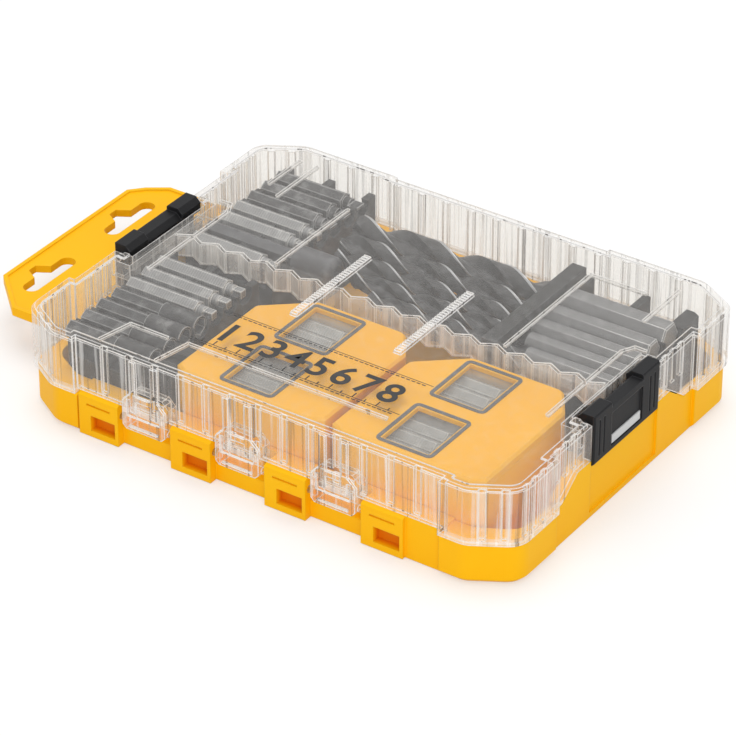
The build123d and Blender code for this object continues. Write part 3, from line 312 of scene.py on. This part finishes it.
def clear(name, shade, tint, veil, edge_veil, reach, ribbed=False):
    """Clear plastic as a thin pale skin: it veils what lies behind it, most at its edges."""
    finish, start = new_finish(name)
    place = start.add("TexCoord", out="Object")
    flow = start.add("TexNoise", values={"Vector": place, "Scale": 70.0, "Detail": 2.0})
    haze = start.add("TexNoise", values={"Vector": place, "Scale": 310.0, "Detail": 3.0})
    soft = start.add("Bevel", {"samples": 8}, {"Radius": reach})
    flat = start.add("NewGeometry", out="Normal")
    facing = start.add("VectorMath", {"operation": "DOT_PRODUCT"}, {0: soft, 1: flat}, out=1)
    edge = (1 - facing.work("ABSOLUTE", facing)).between(0.002, 0.05)
    slant = start.add("LayerWeight", values={"Blend": 0.5}, out="Facing")
    cover = veil + edge_veil * edge + 0.75 * slant.work("POWER", slant, 4.0)
    cover = cover + 0.03 * haze.between(0.45, 0.75)
    colour = haze.between(0.3, 0.8).colours(shade, tint)
    if ribbed:
        height = start.add("SeparateXYZ", values={"Vector": place}, out="Z")
        turned = start.add("TexCoord", out="Normal")
        upright = start.add("SeparateXYZ", values={"Vector": turned}, out="Z")
        standing = 1 - upright.work("ABSOLUTE", upright).between(0.2, 0.6)
        pull = (streaks_across, streaks_across, streaks_up)
        drawn = start.add("VectorMath", {"operation": "MULTIPLY"}, {0: place, 1: pull})
        streak = start.add("TexNoise", values={"Vector": drawn, "Scale": 1.0, "Detail": 2.0})
        lip = height.between(lip_low, lip_low + lip_blur)
        lip = lip * (1 - height.between(lip_high, lip_high + lip_blur))
        above = height.between(rim_height, rim_height + rim_blur)
        # Bright streaks are a painted highlight and dull ones a painted shade, for the light the
        # ribs bend.
        painted_bright_streak, painted_dark_streak = streak.between(0.56, 0.65), 1 - streak.between(0.34, 0.40)
        depth = start.add("SeparateXYZ", values={"Vector": place}, out="Y")
        divider = depth.between(divider_front, divider_front + divider_blur)
        divider = divider * (1 - depth.between(divider_back, divider_back + divider_blur))
        divider = divider * (1 - height.between(divider_top, divider_top + divider_top_blur))
        cover = cover + standing * (0.05 + 0.28 * painted_bright_streak + 0.24 * painted_dark_streak + 0.30 * lip)
        cover = cover + 0.14 * above + 0.16 * divider
        colour = (standing * painted_dark_streak).colours(colour, painted_streak_shade)
    bump = start.add(
        "Bump", values={"Height": flow, "Strength": 0.35, "Distance": 0.0003, "Normal": soft}
    )
    skin = start.add(
        "BsdfPrincipled",
        values={
            "Base Color": colour,
            "Roughness": 0.06 + 0.10 * haze,
            "IOR": 1.5,
            "Normal": bump,
        },
    )
    open_way = start.add("BsdfTransparent", values={"Color": tint})
    cover = cover.work("MINIMUM", cover, cover_most)
    shell = start.add("MixShader", values={0: cover, 1: open_way, 2: skin})
    lamp_ray = start.add("LightPath", out="Is Shadow Ray")
    surface = start.add("MixShader", values={0: lamp_ray, 1: shell, 2: open_way})
    start.add("OutputMaterial", values={"Surface": surface})
    return finish


lid_clear = clear(
    "lid_clear",
    shade=(0.93, 0.90, 0.87, 1),
    tint=(0.98, 0.974, 0.962, 1),
    veil=0.036,
    edge_veil=0.85,
    reach=0.0008,
    ribbed=True,
)
dress(lid_clear, "lid")

# ---- scale printed on the roof ----
# A plain rule in centimetres is pad-printed in black on the roof, between two dashed
# lines, with a tick for each 5 mm and each centimetre numbered.
bar_rise, ink_rise, ink_depth = 0.0015, 0.00003, 0.00004
print_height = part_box("lid")[1].z - bar_rise + ink_rise
print_left, print_pitch, print_count = -0.0450, 0.0100, 8
line_front, line_back = -0.0563, -0.0349
digit_size, digit_spread, digit_foot = 0.0165, 0.00030, 0.0054
dash_length, dash_pitch, line_width = 0.0016, 0.0022, 0.0005
thin_line_gap, thin_line_share = 0.0012, 0.6
tick_long, tick_short = 0.0030, 0.0016
print_end = print_left + print_pitch * (print_count + 1)

marks = []
for line in (line_front, line_back):
    for i in range(int((print_end - print_left) / dash_pitch)):
        x = print_left + i * dash_pitch
        marks.append((x, x + dash_length, line, line + line_width))
    thin = line + thin_line_gap
    marks.append((print_left, print_end, thin, thin + line_width * thin_line_share))
tick_foot = line_front + thin_line_gap
for i in range(1, 2 * (print_count + 1)):
    x = print_left + i * print_pitch / 2
    tick_end = tick_foot + (tick_long if i % 2 == 0 else tick_short)
    marks.append((x - line_width / 2, x + line_width / 2, tick_foot, tick_end))

shape = bmesh.new()
for x0, x1, y0, y1 in marks:
    spots = [(x0, y0), (x1, y0), (x1, y1), (x0, y1)]
    top = [shape.verts.new((x, y, print_height)) for x, y in spots]
    foot = [shape.verts.new((x, y, print_height - ink_depth)) for x, y in spots]
    shape.faces.new(top)
    shape.faces.new(foot[::-1])
    for i in range(4):
        j = (i + 1) % 4
        shape.faces.new((top[j], top[i], foot[i], foot[j]))
for number in range(1, print_count + 1):
    curve = bpy.data.curves.new("digit", "FONT")
    curve.body = str(number)
    curve.size = digit_size
    curve.offset = digit_spread
    curve.extrude = ink_depth / 2
    curve.align_x = "CENTER"
    digit = bpy.data.objects.new("digit", curve)
    outline = bpy.data.meshes.new_from_object(digit)
    middle = print_height - ink_depth / 2
    spot = Vector((print_left + number * print_pitch, line_front + digit_foot, middle))
    outline.transform(Matrix.Translation(spot))
    numeral = bmesh.new()
    numeral.from_mesh(outline)
    bmesh.ops.remove_doubles(numeral, verts=numeral.verts, dist=1e-6)
    numeral.to_mesh(outline)
    numeral.free()
    shape.from_mesh(outline)
    bpy.data.objects.remove(digit)
    bpy.data.curves.remove(curve)
    bpy.data.meshes.remove(outline)
mesh = bpy.data.meshes.new("lid_scale_print")
shape.to_mesh(mesh)
shape.free()
lid_scale = bpy.data.objects.new("lid_scale_print", mesh)
bpy.context.collection.objects.link(lid_scale)

ink, start = new_finish("ink_black")
place = start.add("TexCoord", out="Object")
speck = start.add("TexNoise", values={"Vector": place, "Scale": 1800.0, "Detail": 3.0})
wear = start.add("TexNoise", values={"Vector": place, "Scale": 140.0, "Detail": 4.0})
colour = wear.between(0.45, 0.8).colours((0.008, 0.008, 0.008, 1), (0.03, 0.028, 0.026, 1))
bump = start.add("Bump", values={"Height": speck, "Strength": 0.3, "Distance": 0.00002})
surface = start.add(
    "BsdfPrincipled",
    values={"Base Color": colour, "Roughness": 0.30 + 0.15 * speck, "Normal": bump},
)
start.add("OutputMaterial", values={"Surface": surface})
mesh.materials.append(ink)
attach(lid_scale, "lid")

# ---- latches ----
# Each latch is black glass-filled nylon with two pillars and a sunk middle, and a pale
# strip of soft plastic is pressed into the foot of that panel.
latch_black = moulded(
    "latch_black",
    shade=(0.007, 0.007, 0.008, 1),
    shade_drift=(0.011, 0.011, 0.012, 1),
    edge_highlight=(0.06, 0.06, 0.065, 1),
    roughness=0.48,
    grain_scale=1900.0,
    grain_depth=0.00008,
    reach=0.0006,
    gloss=0.2,
)
dress(latch_black, "latch_right", "latch_left")
strip_pale = moulded(
    "strip_pale",
    shade=(0.55, 0.56, 0.57, 1),
    shade_drift=(0.62, 0.63, 0.63, 1),
    edge_highlight=(0.75, 0.75, 0.75, 1),
    roughness=0.45,
    grain_scale=1500.0,
    grain_depth=0.00005,
    reach=0.0003,
)
dress(strip_pale, "latch_right_strip", "latch_left_strip")

# ---- racks ----
# Three open racks of dark grey polypropylene stand on the base's floor. Their saddles
# hold the bits and drills along the case.
rack_grey = moulded(
    "rack_grey",
    shade=(0.016, 0.0165, 0.018, 1),
    shade_drift=(0.022, 0.0225, 0.024, 1),
    edge_highlight=(0.12, 0.12, 0.125, 1),
    roughness=0.45,
    grain_scale=2100.0,
    grain_depth=0.00006,
)
dress(rack_grey, "rack_back_left", "rack_front_left", "rack_right")


# ---- driver bits, nut drivers and bit holder ----
# They are turned and milled from hex steel bar, hardened, and left with a fine satin
# finish whose marks run round the bar.
def steel(
    name,
    shade,
    highlight_and_blotch_shade,
    roughness,
    metallic=1.0,
    rings=0.0,
    edge_highlight_share=0.7,
    reach=0.0003,
    blotched=0.35,
):
    """Bare or oiled steel with fine turning marks, a blotchy sheen and a painted highlight on its
    edges.
    """
    finish, start = new_finish(name)
    place = start.add("TexCoord", out="Object")
    blotch = start.add("TexNoise", values={"Vector": place, "Scale": 160.0, "Detail": 4.0})
    turned = start.add(
        "TexWave",
        {"wave_type": "BANDS", "bands_direction": "X"},
        {"Vector": place, "Scale": 900.0, "Distortion": 2.0, "Detail": 1.0},
    )
    soft, edge = rounded_edges(start, reach)
    # Edges are painted pale as a highlight.
    colour = (edge * edge_highlight_share).colours(shade, highlight_and_blotch_shade)
    colour = (blotched * blotch.between(0.5, 0.8)).colours(colour, highlight_and_blotch_shade)
    if rings:
        knurl = start.add(
            "TexWave",
            {"wave_type": "BANDS", "bands_direction": "X"},
            {"Vector": place, "Scale": 300.0, "Distortion": 0.3, "Detail": 1.0},
        )
        colour = (rings * knurl.between(0.3, 0.7)).colours(colour, (0.05, 0.05, 0.055, 1))
    bump = start.add(
        "Bump", values={"Height": turned, "Strength": 0.25, "Distance": 0.00003, "Normal": soft}
    )
    surface = start.add(
        "BsdfPrincipled",
        values={
            "Base Color": colour,
            "Metallic": metallic,
            "Roughness": roughness + 0.15 * blotch,
            "Normal": bump,
        },
    )
    start.add("OutputMaterial", values={"Surface": surface})
    return finish


# The second colour of each steel finish is its painted edge highlight.
bit_pale = steel(
    "bit_pale",
    (0.27, 0.273, 0.28, 1),
    (0.95, 0.95, 0.94, 1),
    roughness=0.36,
    metallic=0.3,
    rings=0.3,
    edge_highlight_share=1.0,
    reach=0.0009,
)
bit_dark = steel(
    "bit_dark",
    (0.028, 0.029, 0.032, 1),
    (0.50, 0.50, 0.51, 1),
    roughness=0.38,
    metallic=0.3,
    edge_highlight_share=1.0,
    reach=0.0008,
)
dress(bit_pale, "phillips_bits", "square_bits", "cassette_left_bits", "cassette_right_bits")
dress(bit_dark, "slotted_bits", "nut_drivers")
holder_grey = steel("holder_grey", (0.09, 0.092, 0.10, 1), (0.28, 0.28, 0.29, 1), 0.42, 0.6)
dress(holder_grey, "bit_holder")

# ---- twist drills ----
# Each drill is ground from round bar: two flutes wound round a web, a 118 degree point
# and a shank with six flats. Black oxide covers it. Its margins are painted in paler steel
# as a highlight, and the corners of the shank's flats are painted pale as a highlight.
drill_names = [name for name in nodes if name.startswith("twist_drill")]
point_slope = math.tan(math.radians(59))
helix_slope = math.tan(math.radians(30))
shank_share = 0.34
points_round = 72
ring_gap = 0.0009
web_share = 0.30
land_share, margin_share, land_relief = 0.40, 0.055, 0.05
flat_share, shank_neck, end_bevel = 0.87, 0.0015, 0.0006
tip_reach, runout_share, point_rings = 0.00004, 2.2, 8
sharp_angle = math.radians(38)

oxide_black = steel("oxide_black", (0.010, 0.0105, 0.013, 1), (0.06, 0.06, 0.065, 1), 0.32, 0.3)
# Paler steel is painted on the margins as a highlight.
margin_highlight_steel = steel("margin_highlight_steel", (0.42, 0.43, 0.45, 1), (0.6, 0.6, 0.6, 1), 0.25)
shank_steel = steel(
    "shank_steel",
    (0.19, 0.193, 0.20, 1),
    (0.95, 0.95, 0.95, 1),
    roughness=0.34,
    metallic=0.25,
    edge_highlight_share=1.0,
    reach=0.0007,
    blotched=0.10,
)


def drill_outline(turned, depth):
    """A drill's radius as a share of its full one, at a share of a half turn."""
    share = turned % 1.0
    if share < margin_share:
        return 1.0
    if share < land_share:
        return 1.0 - land_relief * depth
    across = (share - land_share) / (1.0 - land_share)
    dip = math.sin(math.pi * across ** 0.85) ** 0.75
    return 1.0 - depth * (land_relief * (1 - across) + (1 - web_share - land_relief) * dip)


def shank_outline(turned):
    """A six-sided shank's radius as a share of its full one, its corners left round."""
    across = math.pi * (turned % (1 / 3)) - math.pi / 6
    return min(1.0, flat_share / math.cos(across))


for name in drill_names:
    low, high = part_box(name)
    radius = (high.z - low.z) / 2
    centre_y, centre_z = (low.y + high.y) / 2, (low.z + high.z) / 2
    length = high.x - low.x
    shank_start = length * (1 - shank_share)
    lead = 2 * math.pi * radius / helix_slope
    point_length = radius / point_slope
    places = [point_length * i / point_rings for i in range(point_rings + 1)]
    rings = int((shank_start - point_length) / ring_gap)
    places += [
        point_length + (shank_start - point_length) * (i + 1) / rings for i in range(rings)
    ]
    places += [shank_start + shank_neck, length - end_bevel, length]

    shape = bmesh.new()
    loops = []
    for place in places:
        depth = min(1.0, max(0.0, (shank_start - place) / (runout_share * radius)))
        depth = depth * depth * (3 - 2 * depth)
        loop = []
        for i in range(points_round):
            share = 2 * i / points_round
            if place > shank_start:
                reach = radius * shank_outline(share)
            else:
                reach = radius * drill_outline(share, depth)
            reach = min(reach, max(place * point_slope, tip_reach))
            if place == length:
                reach -= end_bevel
            wound = min(place, shank_start) - shank_start
            angle = math.pi * share + 2 * math.pi * wound / lead
            loop.append(
                shape.verts.new(
                    (
                        low.x + place,
                        centre_y + reach * math.cos(angle),
                        centre_z + reach * math.sin(angle),
                    )
                )
            )
        loops.append(loop)
    for ring, (first, second) in enumerate(zip(loops, loops[1:])):
        for i in range(points_round):
            j = (i + 1) % points_round
            face = shape.faces.new((first[i], first[j], second[j], second[i]))
            share = (2 * (i + 0.5) / points_round) % 1.0
            face.smooth = places[ring + 1] <= shank_start
            # Shank faces take the shank finish, and margin faces take the paler steel painted
            # there as a highlight.
            if not face.smooth:
                face.material_index = 2
            elif share < margin_share:
                face.material_index = 1
    shape.faces.new(list(loops[0]))
    shape.faces.new(list(reversed(loops[-1]))).material_index = 2
    bmesh.ops.recalc_face_normals(shape, faces=shape.faces)
    mesh = bpy.data.meshes.new(name + "_fluted")
    shape.to_mesh(mesh)
    shape.free()
    mesh.set_sharp_from_angle(angle=sharp_angle)
    for finish in (oxide_black, margin_highlight_steel, shank_steel):
        mesh.materials.append(finish)
    drill = bpy.data.objects.new(name + "_fluted", mesh)
    bpy.context.collection.objects.link(drill)
    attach(drill, "case")
    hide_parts(name)

# ---- cassettes ----
# Two small hinged boxes of amber polypropylene hold short bits, which show through two
# clear panes in each cover.
cassette_amber = moulded(
    "cassette_amber",
    shade=(0.90, 0.450, 0.008, 1),
    shade_drift=(0.95, 0.490, 0.012, 1),
    edge_highlight=(1.0, 0.68, 0.10, 1),
    roughness=0.40,
    grain_scale=2300.0,
    grain_depth=0.00005,
    gloss=0.2,
)
for side in ("left", "right"):
    dress(cassette_amber, f"cassette_{side}_tray", f"cassette_{side}_cover")
insert_grey = moulded(
    "insert_grey",
    shade=(0.20, 0.20, 0.205, 1),
    shade_drift=(0.25, 0.25, 0.255, 1),
    edge_highlight=(0.4, 0.4, 0.4, 1),
    roughness=0.5,
    grain_scale=2000.0,
    grain_depth=0.00005,
    reach=0.0003,
)
dress(insert_grey, "cassette_left_insert", "cassette_right_insert")
pane_clear = clear(
    "pane_clear",
    shade=(0.85, 0.85, 0.84, 1),
    tint=(0.98, 0.98, 0.97, 1),
    veil=0.10,
    edge_veil=0.4,
    reach=0.0003,
)
dress(pane_clear, "cassette_left_panes", "cassette_right_panes")

# ---- window frames ----
# A printed grey frame is welded round each window of the cassettes' covers, standing a
# little proud, with its corners rounded.
frame_width, frame_rise, frame_sink, frame_round = 0.0014, 0.0003, 0.0001, 0.0008
corner_steps = 4
window_reach, window_edges = 0.0006, ((-0.06493, -0.04193), (-0.03161, -0.00861))
window_start, window_end = 0.01975, 0.03925
frame_grey = moulded(
    "frame_grey",
    shade=(0.090, 0.092, 0.10, 1),
    shade_drift=(0.12, 0.122, 0.13, 1),
    edge_highlight=(0.3, 0.3, 0.31, 1),
    roughness=0.5,
    grain_scale=2000.0,
    grain_depth=0.00004,
    reach=0.0002,
)
for side in ("left", "right"):
    low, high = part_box(f"cassette_{side}_cover")
    shape = bmesh.new()
    for front, back in window_edges:
        x0, x1 = low.x + window_start - window_reach, low.x + window_end + window_reach
        y0, y1 = front - window_reach, back + window_reach
        rims = []
        for out in (0.0, frame_width):
            spots = []
            for turn, (x, y) in enumerate([(x1, y1), (x0, y1), (x0, y0), (x1, y0)]):
                bend = frame_round + out
                for i in range(corner_steps + 1):
                    angle = math.pi / 2 * (turn + i / corner_steps)
                    corner_x = x + (out - bend if x == x1 else bend - out)
                    corner_y = y + (out - bend if y == y1 else bend - out)
                    spot_x = corner_x + bend * math.cos(angle)
                    spots.append((spot_x, corner_y + bend * math.sin(angle)))
            rims.append(spots)
        tops = [[shape.verts.new((x, y, high.z + frame_rise)) for x, y in rim] for rim in rims]
        feet = [[shape.verts.new((x, y, high.z - frame_sink)) for x, y in rim] for rim in rims]
        count = len(rims[0])
        for i in range(count):
            j = (i + 1) % count
            shape.faces.new((tops[0][i], tops[1][i], tops[1][j], tops[0][j]))
            shape.faces.new((tops[1][i], feet[1][i], feet[1][j], tops[1][j]))
            shape.faces.new((feet[0][i], tops[0][i], tops[0][j], feet[0][j]))
            shape.faces.new((feet[1][i], feet[0][i], feet[0][j], feet[1][j]))
    bmesh.ops.recalc_face_normals(shape, faces=shape.faces)
    mesh = bpy.data.meshes.new(f"cassette_{side}_frames")
    shape.to_mesh(mesh)
    shape.free()
    mesh.materials.append(frame_grey)
    frames = bpy.data.objects.new(f"cassette_{side}_frames", mesh)
    bpy.context.collection.objects.link(frames)
    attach(frames, "case")
